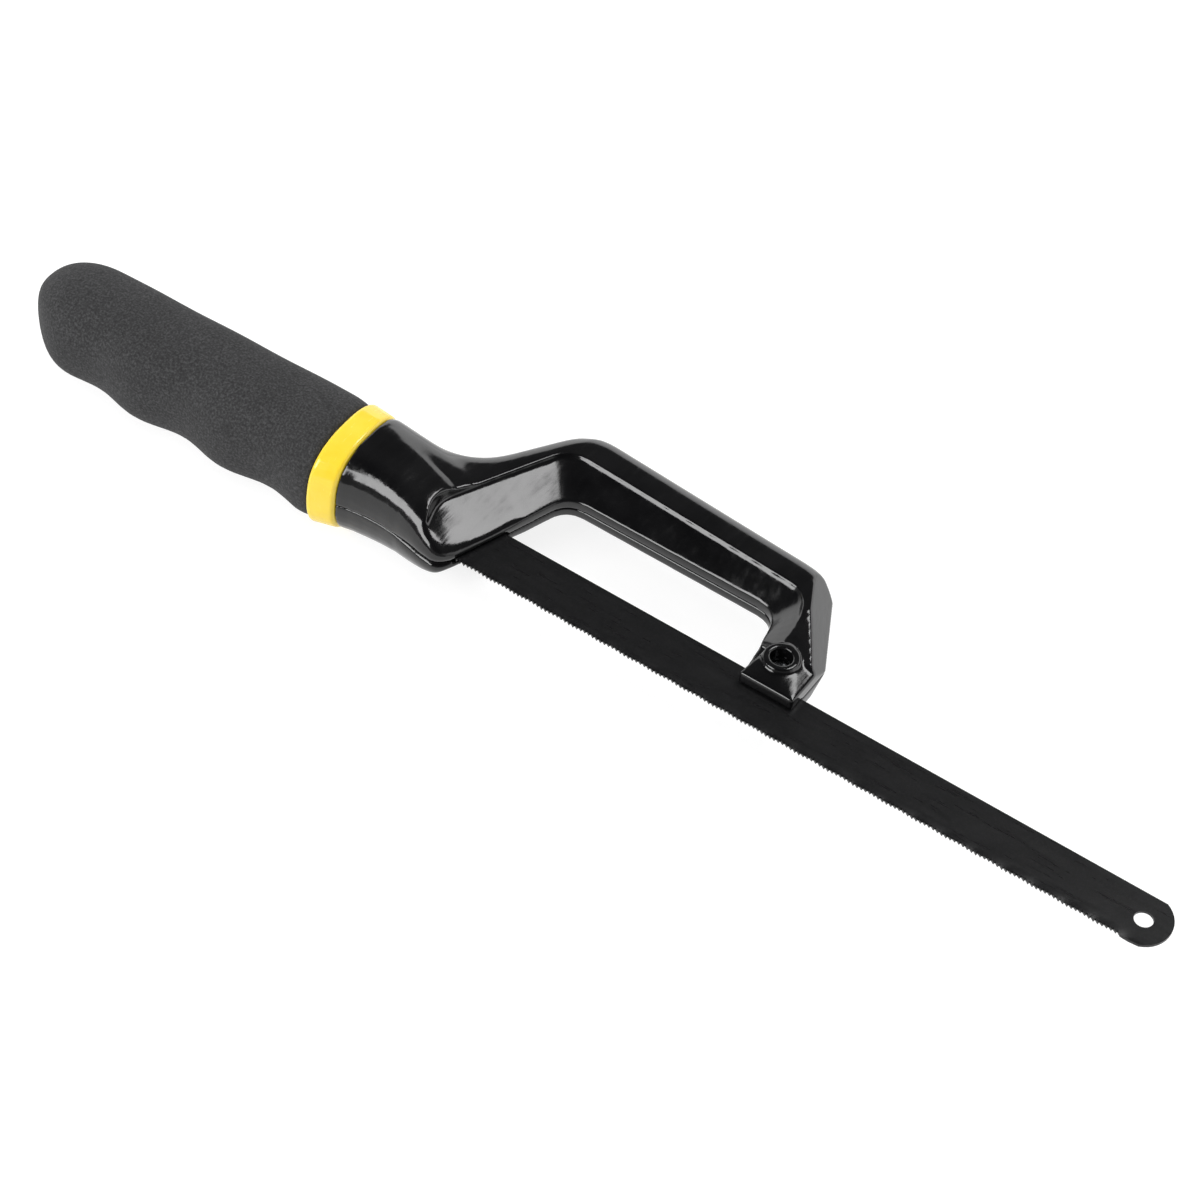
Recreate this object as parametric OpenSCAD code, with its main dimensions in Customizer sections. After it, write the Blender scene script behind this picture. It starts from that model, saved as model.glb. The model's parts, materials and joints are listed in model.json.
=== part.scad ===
// Compact hacksaw: a cast frame in two halves that grips a standard blade near its front end,
// with the rest of the blade held inside the hollow handle.
// The design works in blade space: x = 0 at the front end of the teeth and +x to the tip,
// y = 0 on the tooth line and +y towards the arch, z = 0 on the middle plane of the blade.

/* [Blade] */
// Distance between the two blade holes
blade_holes = 250; // [240:1:300]
// Width of the blade from tooth tips to back
blade_w = 12.7; // [12:0.1:14]
// Thickness of the blade
blade_t = 0.65; // [0.6:0.05:0.9]
// Radius of each blade hole
hole_r = 2.05; // [1.9:0.05:2.4]
// Blade beyond each hole centre
blade_end = 6.1; // [5.5:0.1:8]
// Distance from the front hole centre back to the first tooth
tooth_gap = 2; // [1:0.5:6]
// Distance from tooth to tooth
tooth_pitch = 1.0; // [0.8:0.05:1.8]
// Depth of the tooth gullets
tooth_h = 0.6; // [0.3:0.05:0.9]

/* [Handle] */
// Front edge of the collar ring, back from the front of the teeth
ring_front = 191; // [186:0.2:196]
// Width of the collar ring
ring_w = 6.2; // [4:0.5:12]
// Height of the collar ring
ring_h = 27.8; // [26:0.2:34]
// Thickness of the collar ring
ring_t = 25; // [22:0.2:30]
// How much lower the ring is at its front edge than at its back edge
ring_taper = 2; // [0:0.2:3]
// Backward lean of the ring, per unit of height
ring_lean = 0.03; // [0:0.01:0.1]
// Squareness of the handle's sections, 2 for an ellipse
squareness = 2.6; // [2:0.1:3.5]
// Height of the handle's centre line above the tooth line
grip_y = 8.2; // [7:0.1:12]
// Length of the grip behind the ring
grip_len = 84.4; // [70:0.5:110]
// Height of the grip over its finger ridges
grip_h = 27; // [25:0.2:34]
// Thickness of the grip
grip_t = 24.8; // [22:0.2:30]
// How much slimmer the grip is at its butt, on each side
grip_taper = 1.3; // [0:0.1:2]
// Depth of the finger valleys
valley_d = 2.2; // [0:0.1:2.5]
// Distance from finger valley to finger valley
valley_pitch = 23.8; // [18:0.5:26]
// Height of the frame's tail inside the grip
tail_h = 21; // [20:0.5:22]
// Thickness of the frame's tail inside the grip
tail_t = 17; // [15:0.5:19]
// Diameter of the two screws through the tail
tail_screw_d = 2.4; // [2:0.1:2.8]
// Distance between the two screws through the tail
tail_screw_gap = 42; // [30:1:50]
// Wall of the grip behind the end of the tail
butt_wall = 12; // [11:0.5:15]

/* [Frame] */
// Half thickness of the arch
arch_z = 7; // [6:0.2:8.5]
// Half thickness of the arch along the throat edge
lip_z = 2.2; // [1.6:0.1:3]
// Height of the throat's upper edge above the tooth line
throat_y = 28.7; // [26:0.1:36]
// Back end of the throat at its upper corner, back from the front of the teeth
throat_back = 151.6; // [145:0.5:158]
// Front end of the throat at its upper corner, back from the front of the teeth
throat_front = 98.2; // [92:0.5:104]
// Height of the arch's back corner above the tooth line
arch_back_y = 47; // [43:0.1:52]
// Height of the arch's front corner above the tooth line
arch_front_y = 42.6; // [40:0.1:48]
// Rounding of the arch's outer edges
arch_r = 5.4; // [3:0.1:6]
// Lowest point of the heel below the tooth line
heel_drop = 4.8; // [3:0.1:6]

/* [Clamp] */
// Distance of the screw's axis back from the front of the teeth
screw_x = 89.9; // [87:0.1:92]
// Diameter of the clamp screw
screw_d = 4; // [3:0.1:4.4]
// Thread pitch of the clamp screw
screw_pitch = 0.7; // [0.5:0.1:1]
// Diameter of the screw bosses
boss_d = 8; // [7.6:0.1:9]
// Half thickness over the screw bosses
boss_z = 5.5; // [4.8:0.1:6.5]
// Diameter of the open mouth above the screw end
mouth_d = 4.8; // [4.6:0.1:5.2]
// Depth of the open mouth above the screw end
mouth_depth = 3.4; // [2:0.1:4]
// Diameter of the screw head
head_d = 12; // [10:0.5:13]
// Height of the screw head
head_h = 4.6; // [3:0.1:5.5]
// Number of knurls on the screw head
knurls = 24; // [16:2:32]
// Thickness of the washer
washer_t = 0.8; // [0.5:0.1:1.2]
// Outer diameter of the washer
washer_d = 9; // [8:0.5:10]
// Length of the jaws along the blade
jaw_len = 13; // [11:0.2:15]
// Height of the jaws' lower edge above the tooth line
jaw_y = 8.35; // [7:0.05:10]
// Half thickness of the jaws at their lower edge
jaw_z = 3.4; // [2.6:0.1:4]
// Half thickness of the nose round the screw
nose_z = 4.6; // [4:0.1:5.4]

/* [Fits] */
// Clearance round the screw
screw_gap = 0.05; // [0.02:0.01:0.1]
// Clearance on each face of the blade between the jaws
jaw_gap = 0.05; // [0.02:0.01:0.1]
// Clearance on each face of the blade in the heel and tail
slot_gap = 0.45; // [0.3:0.05:0.7]
// Clearance above and below the blade in the heel and tail
slot_edge_gap = 0.5; // [0.3:0.1:1]

/* [Hidden] */
far = 60;

// Blade stations along x
x_front_hole = tooth_gap;
x_back_hole = x_front_hole - blade_holes;
x_tip = x_front_hole + blade_end;
x_blade_back = x_back_hole - blade_end;
blade_mid_y = blade_w / 2;

// Handle stations along x
x_ring_front = -ring_front;
x_ring_back = x_ring_front - ring_w;
x_butt = x_ring_back - grip_len;
x_tail_end = x_butt + butt_wall;

// Clamp
screw_y = blade_w + screw_d / 2 + screw_gap + 1.25;
x_jaw_back = -screw_x - 5.3;
x_jaw_front = x_jaw_back + jaw_len;

// Points of a path whose inner corners are eased by quadratic curves, with steps along its
// straights too. Each row is [x, y, setback of the curve from the corner].
curve_steps = 7;
straight_steps = 5;
function point(k) = [k[0], k[1]];
function toward(a, b, d) = a + (b - a) * d / norm(b - a);
function straight(k, i) = let (a = point(k[i]), b = point(k[i + 1]),
    p = toward(a, b, k[i][2]), q = toward(b, a, k[i + 1][2]))
    [for (j = [0 : straight_steps - 1]) p + (q - p) * j / straight_steps];
function corner(k, i) = let (c = point(k[i]),
    p = toward(c, point(k[i - 1]), k[i][2]), q = toward(c, point(k[i + 1]), k[i][2]))
    [for (j = [0 : curve_steps - 1]) let (u = j / curve_steps)
        p * (1 - u) ^ 2 + c * 2 * u * (1 - u) + q * u ^ 2];
function eased_path(k) = concat(
    [for (i = [0 : len(k) - 2]) each concat(i == 0 ? [] : corner(k, i), straight(k, i))],
    [point(k[len(k) - 1])]);

// A closed solid through a list of rings that all have the same number of points
module loft(rings) {
    n = len(rings[0]);
    m = len(rings);
    sides = [for (i = [0 : m - 2], j = [0 : n - 1]) let (k = (j + 1) % n)
        each [[i * n + j, (i + 1) * n + k, i * n + k], [i * n + j, (i + 1) * n + j, (i + 1) * n + k]]];
    first = [for (j = [0 : n - 1]) j];
    last = [for (j = [n - 1 : -1 : 0]) (m - 1) * n + j];
    polyhedron(points = [for (r = rings) each r], faces = concat([first], sides, [last]));
}

// Throat edge, from the foot of the leg along the bar and down to the jaws
foot_x = -161.7;
foot_y = -2.2;
throat_edge = eased_path([[foot_x, foot_y, 0], [foot_x + 3.8, 9, 3], [-throat_back, throat_y, 4.4],
    [-throat_front, throat_y, 5.2], [x_jaw_back - 1.4, screw_y + 3.4, 0]]);
// Outer edge of the arch, paired point by point with the throat edge
outer_edge = eased_path([[x_ring_front + 4, 21.2, 0], [-173.2, 22, 10],
    [-157.6, arch_back_y, 7], [-90.4, arch_front_y, 9], [-77.6, 17, 0]]);
// Crest of the sloping inner wall, paired point by point with the throat edge
wall_crest = eased_path([[-167.2, -5.2, 0], [-170.8, 6.4, 4], [-157, 36.8, 5],
    [-95.2, 33.4, 4], [-88.6, 18.6, 0]]);
// Underside of the heel, round to the foot of the leg
heel_edge = eased_path([[foot_x - 9.7, -heel_drop - 5, 0], [foot_x - 5, -heel_drop, 1.7],
    [foot_x - 1.4, -heel_drop + 0.6, 1.7], [foot_x, foot_y, 0]]);

// Placing: the whole saw lies on its side, centred on the origin
x_mid = (x_tip + x_butt) / 2;
y_mid = (max([for (p = outer_edge) p[1]]) + grip_y - max(grip_h, ring_h) / 2) / 2;
z_lift = max(grip_t, ring_t) / 2;
module place() {
    translate([-x_mid, -y_mid, z_lift]) children();
}

// Half section of the arch between a throat point and an outer point
edge_steps = 8;
function arch_ring(a, b, z) = let (w = norm(b - a), d = (b - a) / w, r = min(arch_r, w / 2, z),
    uz = concat([[0, 0], [0, z]],
        [for (i = [0 : edge_steps]) let (t = 90 * i / edge_steps)
            [w - r + r * sin(t), z - r + r * cos(t)]], [[w, 0]]))
    [for (p = uz) [a[0] + d[0] * p[0], a[1] + d[1] * p[0], p[1]]];
// The near face falls from the arch to the jaws over the last straight
function arch_height(i) = let (last = len(throat_edge) - 1)
    arch_z - (arch_z - nose_z) * max(0, i - last + straight_steps) / straight_steps;
module arch() {
    loft([for (i = [len(throat_edge) - 1 : -1 : 0])
        arch_ring(throat_edge[i], outer_edge[i], arch_height(i))]);
}

// Everything above the pocket's floor, which rises from the throat edge almost to the arch's face
// at the crest, and then steeply
crest_z = arch_z - 0.7;
function wall_ring(a, b) = let (out = (b - a) / norm(b - a), low = a - out * 0.5, top = b + out * 1.6,
    low_z = lip_z - 0.5 * (crest_z - lip_z) / norm(b - a))
    [[low[0], low[1], low_z], [b[0], b[1], crest_z],
        [top[0], top[1], arch_z + 5], [low[0], low[1], arch_z + 5]];
function halfway(k, i) = (k[i] + k[i + 1]) / 2;
module wall_cut() {
    loft(concat([wall_ring([foot_x, -10], [foot_x - 2, -11])],
        [for (i = [0 : len(throat_edge) - 2]) wall_ring(halfway(throat_edge, i), halfway(wall_crest, i))],
        [wall_ring([x_jaw_back - 1.4, screw_y - 3], [-screw_x + 2.5, screw_y - 3])]));
}

// The opening of the throat, continued round the heel
module throat_cut() {
    linear_extrude(2 * far, center = true)
        polygon(concat(heel_edge, throat_edge, [[-screw_x, -far], [foot_x - 9.7, -far]]));
}

// Points round an oval section at x, as far as a given turn, leaning by the share k of the ring's
oval_steps = 20;
function power(v) = sign(v) * abs(v) ^ (2 / squareness);
function oval(x, low, high, z, k, turn) = [for (t = [0 : 180 / oval_steps : turn])
    let (y = (high + low) / 2 + (high - low) / 2 * power(cos(t)))
    [x - k * ring_lean * (y - grip_y), y, z * power(sin(t))]];
function half_oval(x, low, high, z, k = 0) = oval(x, low, high, z, k, 180);
function full_oval(x, low, high, z, k = 0) = oval(x, low, high, z, k, 359);

// Neck: from the ring, where it fills the handle's section, down to the flat heel.
// Each row is [distance in front of the ring, lower edge, upper edge, half thickness].
neck_low = grip_y - ring_h / 2 + ring_taper + 0.4;
neck_high = grip_y + ring_h / 2 - 0.8;
neck_z = ring_t / 2 - 0.6;
lean_fade = 16;
neck_rows = [
    [0, neck_low, neck_high, neck_z], [3, neck_low + 0.8, neck_high - 0.5, neck_z - 0.1],
    [7, neck_low + 1.3, 19.4, neck_z - 0.4], [11, neck_low + 1.4, 18, neck_z - 1],
    [15, neck_low + 1.1, 16.8, neck_z - 1.8], [19, neck_low + 0.2, 15.8, 9.3],
    [23, neck_low - 0.8, 15.1, 8.2], [27, neck_low - 1.2, 14.6, 6.9], [33, neck_low - 1.2, 14.4, 5.6]];
// Shoulder: the flatter back of the neck, which falls from the ring to the face of the arch
shoulder_low = 0.5;
shoulder_rows = [[1, neck_high - 0.1, neck_z - 0.2], [8, neck_high, 10.6], [16, neck_high + 0.3, 8.9],
    [23, neck_high + 0.6, 7.5], [30, neck_high + 0.6, 6.4]];
module neck() {
    loft([for (r = neck_rows) half_oval(x_ring_front + r[0], r[1], r[2], r[3],
        max(0, 1 - r[0] / lean_fade))]);
    loft([for (r = shoulder_rows) half_oval(x_ring_front + r[0], shoulder_low, r[1], r[2],
        max(0, 1 - r[0] / lean_fade))]);
}

// Tail: the part of the casting inside ring and grip
tail_rise = 1;
tail_y = [grip_y + tail_rise - tail_h / 2, grip_y + tail_rise + tail_h / 2];
tail_front = x_ring_front + 4;
module tail() {
    loft([half_oval(x_tail_end, tail_y[0], tail_y[1], tail_t / 2),
        half_oval(tail_front, tail_y[0], tail_y[1], tail_t / 2)]);
}
module tail_hole(x0, x1) {
    loft([for (x = [x0, x1]) full_oval(x, tail_y[0], tail_y[1], tail_t / 2)]);
}

// Jaw and boss, joined by sloping facets, on a thin plate
plate_z = 1.2;
module nose() {
    hull() {
        translate([x_jaw_back, jaw_y, 0]) cube([jaw_len, 1, jaw_z]);
        translate([-screw_x, screw_y, 0]) cylinder(d = boss_d, h = nose_z, $fn = 32);
        translate([-screw_x, screw_y, 0]) cube([screw_x + x_jaw_front, 6, jaw_z]);
    }
    linear_extrude(plate_z) polygon([[x_jaw_back, jaw_y], [x_jaw_front, jaw_y], [x_jaw_front, 22],
        throat_edge[len(throat_edge) - 2], throat_edge[len(throat_edge) - 1], [x_jaw_back - 1, screw_y]]);
}

// The nose ends square in front of the jaws, and is bevelled above them from face to seam
bevel_y = 25.9;
module front_cut() {
    translate([x_jaw_front, -far, -far]) cube([far, far + bevel_y - 2, 2 * far]);
    translate([-83.8, bevel_y, 0]) rotate([0, 0, 26.7]) rotate([0, -36, 0])
        translate([0, -far / 2, -far / 2]) cube(far);
}

module blade_slot() {
    translate([x_tail_end - far, -slot_edge_gap, -blade_t / 2 - slot_gap])
        cube([far - throat_back - x_tail_end, blade_w + 2 * slot_edge_gap, blade_t + 2 * slot_gap]);
    translate([x_jaw_back - 1, jaw_y - 1, -blade_t / 2 - jaw_gap])
        cube([jaw_len + 2, blade_w + 0.2 - jaw_y + 1, blade_t + 2 * jaw_gap]);
}

module screw_bore() {
    translate([-screw_x, screw_y, -far]) rotate([0, 0, 25])
        cylinder(d = screw_d + 2 * screw_gap, h = 2 * far, $fn = 64);
}

// Half thickness of the tail at a height
function tail_wall(y) = tail_t / 2
    * max(0, 1 - abs((y - grip_y - tail_rise) * 2 / tail_h) ^ squareness) ^ (1 / squareness);

// Screws through the tail, above the path of the blade, with both ends sunk below its outside
tail_screw_y = blade_w + slot_edge_gap + tail_screw_d / 2 + 0.5;
tail_head_d = tail_screw_d * 1.7;
tail_head_h = 1.8;
tail_head_sink = 1.3;
tail_end_sink = 0.75;
tail_head_z = tail_wall(tail_screw_y + tail_head_d / 2) - tail_head_h - tail_head_sink;
tail_reach = tail_wall(tail_screw_y + tail_screw_d / 2) - tail_end_sink;
tail_screw_xs = [for (k = [-0.5, 0.5]) (x_tail_end + x_ring_back) / 2 + k * tail_screw_gap];
module tail_bores(gap) {
    for (x = tail_screw_xs) translate([x, tail_screw_y, 0]) {
        translate([0, 0, -tail_reach]) cylinder(d = tail_screw_d + 2 * gap, h = 2 * tail_reach, $fn = 48);
        translate([0, 0, tail_head_z]) cylinder(d = tail_head_d + 2 * gap, h = far, $fn = 48);
    }
}

// One casting half without its holes, seam at z = 0 and outside up
module casting() {
    difference() {
        union() {
            difference() {
                union() {
                    difference() {
                        neck();
                        throat_cut();
                    }
                    arch();
                }
                wall_cut();
            }
            tail();
            nose();
        }
        front_cut();
    }
    translate([-screw_x, screw_y, 0]) cylinder(d = boss_d, h = boss_z, $fn = 64);
}

module frame_near() {
    color("#101010") place() difference() {
        casting();
        blade_slot();
        screw_bore();
        translate([-screw_x, screw_y, boss_z - mouth_depth]) cylinder(d = mouth_d, h = far, $fn = 64);
        tail_bores(screw_gap);
    }
}

module frame_far() {
    color("#131313") place() difference() {
        mirror([0, 0, 1]) casting();
        blade_slot();
        screw_bore();
        tail_bores(screw_gap);
    }
}

module tail_screws() {
    color("#8d9196") place() for (x = tail_screw_xs) translate([x, tail_screw_y, 0]) {
        translate([0, 0, -tail_reach + 0.5])
            cylinder(d = tail_screw_d, h = tail_reach - 0.4 + tail_head_z, $fn = 48);
        translate([0, 0, tail_head_z]) difference() {
            cylinder(d = tail_head_d, h = tail_head_h, $fn = 48);
            translate([0, 0, tail_head_h - 0.8]) for (a = [0, 90]) rotate([0, 0, a])
                translate([-tail_head_d * 0.3, -0.35, 0]) cube([tail_head_d * 0.6, 0.7, 2]);
        }
    }
}

// Clamp screw: knurled head under the far boss, plain end seen in the mouth of the near boss
z_washer = -boss_z - washer_t;
module clamp_screw() {
    tip_z = boss_z - mouth_depth;
    chamfer = 0.5;
    knurl = 0.7;
    color("#c3c6ca") place() translate([-screw_x, screw_y, 0]) {
        translate([0, 0, z_washer - 0.1])
            cylinder(d = screw_d, h = tip_z - chamfer - z_washer + 0.1, $fn = 64);
        translate([0, 0, tip_z - chamfer])
            cylinder(d1 = screw_d, d2 = screw_d - 2 * chamfer, h = chamfer, $fn = 64);
        translate([0, 0, z_washer - head_h]) difference() {
            cylinder(d = head_d, h = head_h, $fn = 96);
            for (i = [0 : knurls - 1]) rotate([0, 0, 360 * i / knurls])
                translate([head_d / 2, 0, -1]) rotate([0, 0, 45])
                    translate([-knurl / 2, -knurl / 2, 0]) cube([knurl, knurl, head_h + 2]);
        }
    }
}

module clamp_washer() {
    color("#d0d2d6") place() translate([-screw_x, screw_y, z_washer]) difference() {
        cylinder(d = washer_d, h = washer_t, $fn = 64);
        translate([0, 0, -1]) cylinder(d = screw_d + 2 * screw_gap, h = washer_t + 2, $fn = 64);
    }
}

// Collar ring, rounded at both rims and lower in front where it meets the neck
rim = 0.6;
module collar_ring() {
    high = grip_y + ring_h / 2;
    low = grip_y - ring_h / 2;
    rows = [for (u = [0, rim / ring_w, 1 - rim / ring_w, 1]) let (k = (u == 0 || u == 1) ? rim : 0,
        sink = ring_taper * u)
        full_oval(x_ring_back + u * ring_w, low + sink + k, high - sink * 0.3 - k,
            ring_t / 2 - sink * 0.2 - k, 1)];
    color("#f6dd32") place() difference() {
        loft(rows);
        tail_hole(x_ring_back - 6, x_ring_front + 6);
    }
}

// Grip: straight along the back, a valley for each finger in front, and a blunt rounded butt.
// The lean of its front end fades along the grip.
function grip_under(x) = grip_y - grip_h / 2
    + valley_d / 2 * (1 - cos(360 * (x - x_ring_back + 0.4) / valley_pitch));
function rounded(d, r) = d < r ? sqrt(max(0, 1 - (1 - d / r) ^ 2)) : 1;
butt_top_r = 15;
butt_low_r = 24;
butt_side_r = 17;
grip_steps = 34;
module grip_sleeve() {
    rows = [for (i = [0 : grip_steps]) let (u = i / grip_steps,
        d = (grip_len - 0.1) * u ^ 1.5 + 0.05, x = x_butt + d,
        slim = grip_taper * (1 - d / grip_len), high = grip_y + grip_h / 2 - slim,
        mid = grip_y + 3, front = i == grip_steps ? 0.5 : 0)
        full_oval(x, mid - (mid - grip_under(x)) * rounded(d, butt_low_r) + front,
            mid + (high - mid) * rounded(d, butt_top_r) - front,
            (grip_t / 2 - slim) * rounded(d, butt_side_r) - front, max(0, 1 - (grip_len - d) / lean_fade))];
    color("#3b3b3b") place() difference() {
        loft(rows);
        tail_hole(x_tail_end, x_ring_back + 6);
    }
}

// Blade with its teeth raked to cut on the push stroke
module blade() {
    teeth = floor(blade_holes / tooth_pitch) - 4;
    edge = [for (i = [0 : teeth - 1]) each
        [[-i * tooth_pitch, 0], [-(i + 0.88) * tooth_pitch, tooth_h]]];
    end_r = blade_w * 0.56;
    color("#1c1c1e") place() linear_extrude(blade_t, center = true) difference() {
        intersection() {
            polygon(concat(edge, [[x_blade_back, tooth_h], [x_blade_back, blade_w],
                [x_tip, blade_w], [x_tip, 0]]));
            union() {
                for (side = [x_blade_back + end_r, x_tip - end_r])
                    translate([side, blade_mid_y]) circle(r = end_r, $fn = 96);
                translate([x_blade_back + end_r, -1])
                    square([x_tip - x_blade_back - 2 * end_r, blade_w + 2]);
            }
        }
        for (x = [x_front_hole, x_back_hole]) translate([x, blade_mid_y]) circle(r = hole_r, $fn = 64);
    }
}

frame_near();
frame_far();
blade();
clamp_screw();
clamp_washer();
collar_ring();
grip_sleeve();
tail_screws();
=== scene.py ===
import json
import math

import bmesh
import bpy
from mathutils import Matrix, Vector


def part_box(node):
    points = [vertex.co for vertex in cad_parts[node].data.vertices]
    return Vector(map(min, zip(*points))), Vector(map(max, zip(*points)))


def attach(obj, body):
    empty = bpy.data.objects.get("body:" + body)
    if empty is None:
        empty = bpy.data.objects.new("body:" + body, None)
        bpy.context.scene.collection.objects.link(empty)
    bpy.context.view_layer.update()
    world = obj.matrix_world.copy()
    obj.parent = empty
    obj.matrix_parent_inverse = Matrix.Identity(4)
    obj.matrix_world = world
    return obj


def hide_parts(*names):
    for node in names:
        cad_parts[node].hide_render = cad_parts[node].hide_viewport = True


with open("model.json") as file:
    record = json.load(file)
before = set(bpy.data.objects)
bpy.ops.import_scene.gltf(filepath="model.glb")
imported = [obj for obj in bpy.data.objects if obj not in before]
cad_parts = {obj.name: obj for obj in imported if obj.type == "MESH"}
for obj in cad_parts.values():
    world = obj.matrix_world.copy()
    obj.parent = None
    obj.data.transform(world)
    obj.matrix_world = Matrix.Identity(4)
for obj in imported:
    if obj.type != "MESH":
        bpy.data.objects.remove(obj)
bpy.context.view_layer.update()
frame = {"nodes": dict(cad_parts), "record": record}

MM = 0.001
WELD = 0.0005 * MM  # points nearer to each other than this are joined
CUT_REACH = 0.0001 * MM  # points nearer to a cut than this lie on it
FLAT_DEGREES = 1
HARD_EDGE_DEGREES = 35
LEAST_SHARE = 0.01
scene = bpy.context.scene
nodes = frame["nodes"]

# ---------------------------------------------------------------- places from the frame

hole = Vector(frame["record"]["mounts"][0]["pos_m"])
blade_low, blade_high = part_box("blade")
ring_low, ring_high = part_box("collar_ring")
seam_z = (blade_low.z + blade_high.z) / 2
blade_width_mm = (blade_high.y - blade_low.y) / MM


# ---------------------------------------------------------------- colours and node graphs

def linear(hex_colour):
    """An sRGB hex value as linear light, opaque."""
    parts = [int(hex_colour[i:i + 2], 16) / 255 for i in (1, 3, 5)]
    return [p / 12.92 if p <= 0.04045 else ((p + 0.055) / 1.055) ** 2.4 for p in parts] + [1.0]


def new_material(name):
    """An empty graph with its output and its Principled shader."""
    material = bpy.data.materials.new(name)
    material.use_nodes = True
    graph = material.node_tree
    graph.nodes.clear()
    out = graph.nodes.new("ShaderNodeOutputMaterial")
    shader = graph.nodes.new("ShaderNodeBsdfPrincipled")
    graph.links.new(shader.outputs["BSDF"], out.inputs["Surface"])
    return material, graph, shader


def add(graph, kind, links=None, settings=None, **values):
    """Adds one node: settings are its properties, links its linked sockets and values its others.
    A value is named after its socket, or _1, _2 and so on after the socket's number."""
    node = graph.nodes.new(kind)
    for key, value in (settings or {}).items():
        setattr(node, key, value)
    for key, value in values.items():
        socket = key.replace("_", " ")
        node.inputs[int(key[1:]) if key[1:].isdigit() else socket].default_value = value
    for key, source in (links or {}).items():
        graph.links.new(source, node.inputs[key])
    return node


def ramp(graph, source, stops):
    """A colour ramp over a value, as [(place, hex), ...] or [(place, number), ...]."""
    node = add(graph, "ShaderNodeValToRGB", {"Fac": source})
    marks = node.color_ramp.elements
    while len(marks) < len(stops):
        marks.new(0.5)
    for mark, (place, value) in zip(marks, stops):
        mark.position = place
        mark.color = linear(value) if isinstance(value, str) else (value, value, value, 1)
    return node.outputs["Color"]


def grain(graph, place, size_mm, detail=2.0, roughness=0.5, stretch=(1, 1, 1)):
    """Noise whose lumps are about size_mm across, drawn out along an axis by stretch."""
    mapping = add(graph, "ShaderNodeMapping", {"Vector": place},
                  Scale=[1 / (size_mm * MM * s) for s in stretch])
    return add(graph, "ShaderNodeTexNoise", {"Vector": mapping.outputs["Vector"]},
               Scale=1.0, Detail=detail, Roughness=roughness).outputs["Fac"]


def bump(graph, height, depth_mm, strength=1.0, under=None):
    """The normal of a surface raised by a height of up to depth_mm, over another bump if given."""
    links = {"Height": height}
    if under is not None:
        links["Normal"] = under
    return add(graph, "ShaderNodeBump", links, Strength=strength,
               Distance=depth_mm * MM).outputs["Normal"]


def object_place(graph):
    """Places on the object itself, in metres."""
    return add(graph, "ShaderNodeTexCoord").outputs["Object"]


def black_enamel():
    """Stoved gloss enamel over a zinc casting: deep black, with the casting's slow waviness and
    faint draw marks under it, a slight orange peel and lightly rubbed streaks."""
    material, graph, shader = new_material("black_enamel_on_casting")
    place = object_place(graph)
    tone = grain(graph, place, 9, 3)
    rubbed = grain(graph, place, 1.6, 5, 0.6, (1, 7, 1))
    graph.links.new(ramp(graph, tone, [(0.35, "#0a0a0b"), (0.7, "#111112")]),
                    shader.inputs["Base Color"])
    graph.links.new(ramp(graph, rubbed, [(0.36, 0.09), (0.56, 0.15), (0.72, 0.24)]),
                    shader.inputs["Roughness"])
    wavy = bump(graph, grain(graph, place, 14, 1), 0.10)
    drawn = bump(graph, grain(graph, place, 2.0, 3, 0.5, (1, 7, 1)), 0.05, under=wavy)
    peel = bump(graph, grain(graph, place, 1.3, 2), 0.006, under=drawn)
    graph.links.new(peel, shader.inputs["Normal"])
    shader.inputs["IOR"].default_value = 1.52
    return material


def black_blade_steel():
    """Rolled spring steel, lacquered satin black: a dense fine grain along the strip and specks."""
    material, graph, shader = new_material("satin_black_blade_steel")
    place = object_place(graph)
    specks = grain(graph, place, 0.35, 2)
    along = grain(graph, place, 0.9, 4, 0.6, (12, 1, 1))
    colour = ramp(graph, specks, [(0.3, "#0b0b0c"), (0.55, "#111112"), (0.8, "#1c1c1d")])
    graph.links.new(colour, shader.inputs["Base Color"])
    graph.links.new(ramp(graph, along, [(0.3, 0.26), (0.7, 0.36)]), shader.inputs["Roughness"])
    graph.links.new(bump(graph, specks, 0.012, 0.6), shader.inputs["Normal"])
    shader.inputs["Specular IOR Level"].default_value = 0.35
    return material


def charcoal_foam():
    """Closed-cell rubber sleeve with a fine sanded grain: matte charcoal, paler on the grain's tips."""
    material, graph, shader = new_material("charcoal_foam_rubber")
    place = object_place(graph)
    cells = grain(graph, place, 0.5, 3, 0.6)
    patches = grain(graph, place, 12, 3)
    fleck = ramp(graph, cells, [(0.3, "#202021"), (0.5, "#2c2c2d"), (0.68, "#3e3e3f")])
    tint = ramp(graph, patches, [(0.35, 0.86), (0.65, 1.0)])
    # In a colour mix, socket 0 is the factor, 6 and 7 are the colours and output 2 is the result
    mixed = add(graph, "ShaderNodeMix", {6: fleck, 7: tint},
                {"data_type": "RGBA", "blend_type": "MULTIPLY"}, _0=1.0).outputs[2]
    graph.links.new(mixed, shader.inputs["Base Color"])
    graph.links.new(ramp(graph, cells, [(0.3, 0.95), (0.7, 0.8)]), shader.inputs["Roughness"])
    graph.links.new(bump(graph, cells, 0.10, 0.8), shader.inputs["Normal"])
    return material


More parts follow.
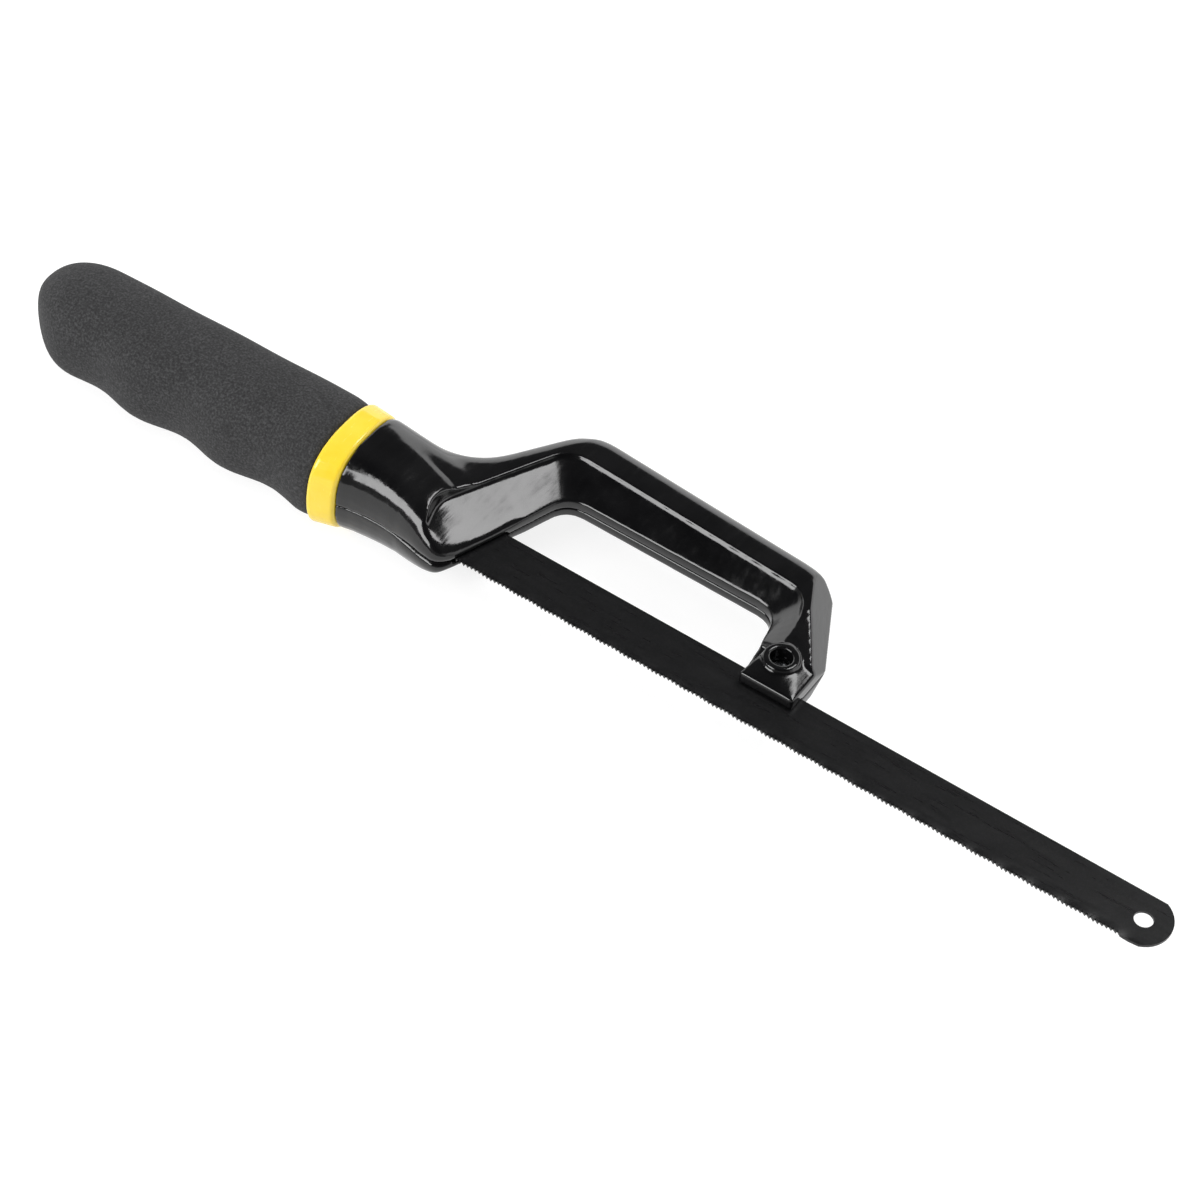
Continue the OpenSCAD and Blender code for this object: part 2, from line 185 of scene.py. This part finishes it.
def yellow_plastic():
    """Injection-moulded ABS, polished: bright yellow with a faint flow cloud and hairline scuffs."""
    material, graph, shader = new_material("glossy_yellow_abs")
    place = object_place(graph)
    cloud = grain(graph, place, 8, 3)
    scuffs = grain(graph, place, 0.6, 4, 0.7, (1, 8, 8))
    graph.links.new(ramp(graph, cloud, [(0.3, "#e6c62c"), (0.7, "#edd044")]),
                    shader.inputs["Base Color"])
    graph.links.new(ramp(graph, scuffs, [(0.45, 0.16), (0.75, 0.34)]), shader.inputs["Roughness"])
    graph.links.new(bump(graph, cloud, 0.03), shader.inputs["Normal"])
    shader.inputs["Subsurface Weight"].default_value = 0.08
    shader.inputs["Subsurface Radius"].default_value = (0.002, 0.0014, 0.0004)
    return material


def zinc(name, dark, pale, low, high):
    """Zinc-plated steel, turned: cloudy passivated plate with fine machining lines."""
    material, graph, shader = new_material(name)
    place = object_place(graph)
    cloud = grain(graph, place, 2.5, 3)
    lines = grain(graph, place, 0.25, 2, 0.5, (10, 10, 1))
    graph.links.new(ramp(graph, cloud, [(0.3, dark), (0.7, pale)]), shader.inputs["Base Color"])
    graph.links.new(ramp(graph, lines, [(0.3, low), (0.7, high)]), shader.inputs["Roughness"])
    graph.links.new(bump(graph, lines, 0.01), shader.inputs["Normal"])
    shader.inputs["Metallic"].default_value = 1.0
    return material


enamel = black_enamel()
blade_steel = black_blade_steel()
foam = charcoal_foam()
yellow = yellow_plastic()
bright_zinc = zinc("bright_zinc_plate", "#b9bcc0", "#dcdee0", 0.2, 0.36)
dull_zinc = zinc("dull_zinc_plate", "#8d9094", "#b0b2b5", 0.3, 0.5)


# ---------------------------------------------------------------- making pieces

def merged_copy(node):
    """A bmesh copy of a CAD node with its loose triangles joined."""
    shape = bmesh.new()
    shape.from_mesh(nodes[node].data)
    bmesh.ops.remove_doubles(shape, verts=shape.verts, dist=WELD)
    bmesh.ops.dissolve_degenerate(shape, edges=shape.edges, dist=WELD)
    return shape


def piece(name, shape, material, smooth_angle=None):
    """Makes an object of a bmesh, smooth shaded up to an angle in degrees, or all over."""
    mesh = bpy.data.meshes.new(name)
    shape.to_mesh(mesh)
    shape.free()
    for face in mesh.polygons:
        face.use_smooth = True
    if smooth_angle is not None:
        mesh.set_sharp_from_angle(angle=math.radians(smooth_angle))
    mesh.materials.append(material)
    thing = bpy.data.objects.new(name, mesh)
    scene.collection.objects.link(thing)
    return thing


def settle(thing, *modifiers):
    """Applies modifiers, each (type, settings), and keeps the result as the object's own mesh."""
    for kind, settings in modifiers:
        modifier = thing.modifiers.new(kind.title(), kind)
        for key, value in settings.items():
            setattr(modifier, key, value)
    graph = bpy.context.evaluated_depsgraph_get()
    mesh = bpy.data.meshes.new_from_object(thing.evaluated_get(graph))
    thing.modifiers.clear()
    old, thing.data = thing.data, mesh
    mesh.name = thing.name
    bpy.data.meshes.remove(old)
    for face in mesh.polygons:
        face.use_smooth = True


def cast_skin(thing, voxel_mm, passes):
    """Rounds every edge as a casting's or moulding's is: a fine even mesh, relaxed."""
    settle(thing, ("REMESH", {"mode": "VOXEL", "voxel_size": voxel_mm * MM}),
           ("SMOOTH", {"factor": 0.5, "iterations": passes}))


def hand_over(thing, body, node):
    """Lets a finished piece ride its body, in place of its CAD node."""
    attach(thing, body)
    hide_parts(node)


# ---------------------------------------------------------------- the casting

def ease(value, start, full):
    """0 up to start and 1 from full on, with a smooth rise between them."""
    share = min(1.0, max(0.0, (value - start) / (full - start)))
    return share * share * (3 - 2 * share)


def within(value, start, full, last, end):
    """1 from full to last, easing to 0 at start and at end."""
    return ease(value, start, full) * ease(-value, -end, -last)


def fettled(thing, name, weight, passes):
    """Relaxes the part of a casting that weight(place) picks, as where a fettler blends it by hand."""
    group = thing.vertex_groups.new(name=name)
    for vertex in thing.data.vertices:
        share = weight(vertex.co)
        if share > LEAST_SHARE:
            group.add([vertex.index], share, "REPLACE")
    settle(thing, ("SMOOTH", {"factor": 0.5, "iterations": passes, "vertex_group": name}))


def casting_place(place):
    """A place in mm: forward of the ring, above the tooth line and away from the parting line."""
    return ((place.x - ring_high.x) / MM, (place.y - blade_low.y) / MM, abs(place.z - seam_z) / MM)


CREST_FOOT_MM = 23.6
CREST_SLOPE = 0.45


def shoulder_share(place):
    """The back of the neck between the ring and the pocket's crest, clear of the parting line.
    The crest starts CREST_FOOT_MM forward of the ring and leans forward as it rises."""
    x, y, z = casting_place(place)
    over_blade = y - blade_width_mm
    crest_x = CREST_FOOT_MM + CREST_SLOPE * over_blade
    return (ease(x, 2, 7) * ease(crest_x - x, 1.2, 4) * ease(over_blade, -1, 1.5)
            * ease(z, 1.0, 3.0))


def heel_share(place):
    """The lowest corner of the heel."""
    x, y, z = casting_place(place)
    return within(x, 14, 20, 30, 33) * ease(-y, 0.2, 2.4)


def pocket_share(place):
    """The rounded lower end of the pocket, between its floor and its crest."""
    x, y, z = casting_place(place)
    return within(x, 19, 22, 34, 38) * within(y, -3, 0, 13, 18) * within(z, 1.4, 2.6, 5.0, 6.2)


def severed(shape, x, front):
    """Keeps what lies in front of x, or behind it, and closes the cut."""
    bmesh.ops.bisect_plane(shape, geom=shape.verts[:] + shape.edges[:] + shape.faces[:],
                           plane_co=(x, 0, 0), plane_no=(1, 0, 0), dist=CUT_REACH,
                           clear_inner=front, clear_outer=not front)
    bmesh.ops.holes_fill(shape, edges=[e for e in shape.edges if e.is_boundary], sides=0)
    bmesh.ops.recalc_face_normals(shape, faces=shape.faces)
    return shape


# Cast skin in front, and behind it the plain tail that ring and grip hide
hidden_from = (ring_low.x + ring_high.x) / 2
for side in ("near", "far"):
    node = "frame_" + side
    half = piece("cast_half_" + side, severed(merged_copy(node), hidden_from, True), enamel)
    cast_skin(half, voxel_mm=0.33, passes=10)
    fettled(half, "shoulder", shoulder_share, passes=170)
    fettled(half, "heel", heel_share, passes=150)
    fettled(half, "pocket", pocket_share, passes=90)
    hand_over(half, "saw", node)
    tail = piece("cast_tail_" + side, severed(merged_copy(node), hidden_from, False), enamel,
                 smooth_angle=30)
    hand_over(tail, "saw", node)

# ---------------------------------------------------------------- grip and ring

grip = piece("foam_grip", merged_copy("grip_sleeve"), foam)
cast_skin(grip, voxel_mm=0.7, passes=10)
hand_over(grip, "saw", "grip_sleeve")
ring = piece("yellow_collar", merged_copy("collar_ring"), yellow)
cast_skin(ring, voxel_mm=0.3, passes=3)
hand_over(ring, "saw", "collar_ring")

# ---------------------------------------------------------------- blade

# The set: its wave's length, its sideways reach and how far above the teeth it fades out, then
# the heights and the step at which the strip is divided so that it can bend
SET_WAVE = 7.0 * MM
SET_REACH = 0.16 * MM
SET_DEPTH = 2.4 * MM
SET_ROWS_MM = (0.62, 1.2, 1.8, 2.4)
SET_STEP = MM


def slice_strip(strip, geom, point, normal):
    """Divides the given part of the strip by a plane and keeps both sides."""
    bmesh.ops.bisect_plane(strip, geom=geom, plane_co=point, plane_no=normal)


def wavy_set_blade():
    """The blade with a wavy set: its toothed edge swings from side to side along its length."""
    strip = merged_copy("blade")
    tooth_line = blade_low.y
    for row in SET_ROWS_MM:
        slice_strip(strip, strip.verts[:] + strip.edges[:] + strip.faces[:],
                    (0, tooth_line + row * MM, 0), (0, 1, 0))
    for i in range(1, int((blade_high.x - blade_low.x) / SET_STEP)):
        x = blade_low.x + i * SET_STEP
        crossed = [f for f in strip.faces if f.calc_center_median().y < tooth_line + SET_DEPTH
                   and min(v.co.x for v in f.verts) < x < max(v.co.x for v in f.verts)]
        edges = {e for f in crossed for e in f.edges}
        corners = {v for f in crossed for v in f.verts}
        slice_strip(strip, crossed + list(edges) + list(corners), (x, 0, 0), (1, 0, 0))
    for v in strip.verts:
        share = max(0.0, 1 - (v.co.y - tooth_line) / SET_DEPTH)
        v.co.z += SET_REACH * share ** 1.5 * math.sin(2 * math.pi * v.co.x / SET_WAVE)
    return strip


blade = piece("toothed_blade", wavy_set_blade(), blade_steel, smooth_angle=20)
hand_over(blade, "blade", "blade")


# ---------------------------------------------------------------- screws and washer

def softened(node, width_mm):
    """A merged copy with its flats joined and its hard edges broken by a small round."""
    shape = merged_copy(node)
    bmesh.ops.dissolve_limit(shape, angle_limit=math.radians(FLAT_DEGREES), verts=shape.verts,
                             edges=shape.edges)
    edges = [e for e in shape.edges
             if len(e.link_faces) == 2 and e.calc_face_angle() > math.radians(HARD_EDGE_DEGREES)]
    bmesh.ops.bevel(shape, geom=edges, offset=width_mm * MM, segments=2, profile=0.5,
                    affect="EDGES", material=-1, clamp_overlap=True)
    return shape


screw = piece("knurled_screw", softened("clamp_screw", 0.12), bright_zinc, smooth_angle=30)
hand_over(screw, "screw", "clamp_screw")
washer = piece("plain_washer", softened("clamp_washer", 0.1), bright_zinc, smooth_angle=30)
hand_over(washer, "washer", "clamp_washer")
tail_screws = piece("tail_cross_screws", softened("tail_screws", 0.08), dull_zinc,
                    smooth_angle=30)
hand_over(tail_screws, "saw", "tail_screws")

# ---------------------------------------------------------------- floor

FLOOR_HALF = 6.0
sheet = bmesh.new()
bmesh.ops.create_grid(sheet, x_segments=1, y_segments=1, size=FLOOR_HALF)
opal, opal_graph, opal_shader = new_material("opal_light_table")
clouding = grain(opal_graph, object_place(opal_graph), 30, 3)
milk = ramp(opal_graph, clouding, [(0.3, "#fbfbfb"), (0.7, "#ffffff")])
opal_graph.links.new(milk, opal_shader.inputs["Emission Color"])
opal_shader.inputs["Base Color"].default_value = linear("#9a9a9a")
opal_shader.inputs["Emission Strength"].default_value = 0.82
opal_shader.inputs["Roughness"].default_value = 0.95
opal_shader.inputs["Specular IOR Level"].default_value = 0.1
floor = piece("floor", sheet, opal)

# ---------------------------------------------------------------- lights

# A tent that glows low down, mostly on the arch's side, and is dark overhead
world = bpy.data.worlds.new("soft_tent")
scene.world = world
world.use_nodes = True
tent = world.node_tree
tent.nodes.clear()
world_out = tent.nodes.new("ShaderNodeOutputWorld")
way = add(tent, "ShaderNodeTexCoord").outputs["Generated"]
heading = add(tent, "ShaderNodeSeparateXYZ", {"Vector": way}).outputs
by_height = ramp(tent, heading["Z"], [(0.0, 1.0), (0.40, 1.0), (0.47, 0.05), (1.0, 0.04)])
arch_side = add(tent, "ShaderNodeMath", {0: heading["Y"]}, {"operation": "MULTIPLY_ADD"},
                _1=0.5, _2=0.5).outputs["Value"]
by_side = ramp(tent, arch_side, [(0.0, 0.12), (0.40, 0.12), (0.62, 1.0), (1.0, 1.0)])
glow = add(tent, "ShaderNodeMath", {0: by_height, 1: by_side}, {"operation": "MULTIPLY"})
tent_light = add(tent, "ShaderNodeBackground", {"Color": glow.outputs["Value"]}, Strength=1.8)
tent.links.new(tent_light.outputs["Background"], world_out.inputs["Surface"])


def softbox(name, place, size, power, seen=True):
    """A rectangular light at a place, aimed at the origin, and seen in reflections or not."""
    lamp = bpy.data.lights.new(name, "AREA")
    lamp.shape = "RECTANGLE"
    lamp.size, lamp.size_y = size
    lamp.energy = power
    thing = bpy.data.objects.new(name, lamp)
    thing.location = place
    aim = Vector((0, 0, 0)) - Vector(place)
    thing.rotation_euler = aim.to_track_quat("-Z", "Y").to_euler()
    thing.visible_glossy = seen
    scene.collection.objects.link(thing)


# One box above the arch's side towards the tip, a larger and lower one on the teeth's side towards
# the handle, and a fill overhead that reflections don't show
softbox("leg_box", (0.33, 0.56, 1.14), (0.46, 0.46), 5.5)
softbox("front_box", (-0.50, -0.95, 0.66), (0.80, 0.60), 13)
softbox("overhead_fill", (0, 0, 2.0), (2.5, 2.5), 28, seen=False)

# ---------------------------------------------------------------- camera

# The camera's place is taken from the blade's front hole, and right and up are its own axes
CAMERA_FROM_HOLE = Vector((0.10142, -0.43888, 0.54650))
LENS_MM = 105.37
camera_data = bpy.data.cameras.new("camera")
camera_data.sensor_width = 36.0
camera_data.lens = LENS_MM
camera_data.clip_start, camera_data.clip_end = 0.05, 20.0
camera = bpy.data.objects.new("camera", camera_data)
right = Vector((0.82764, 0.55342, 0.09347))
up = Vector((-0.46395, 0.58087, 0.66883))
turn = Matrix((right, up, right.cross(up))).transposed()
camera.matrix_world = Matrix.Translation(hole + CAMERA_FROM_HOLE) @ turn.to_4x4()
scene.collection.objects.link(camera)
scene.camera = camera
scene.view_settings.view_transform = "Standard"
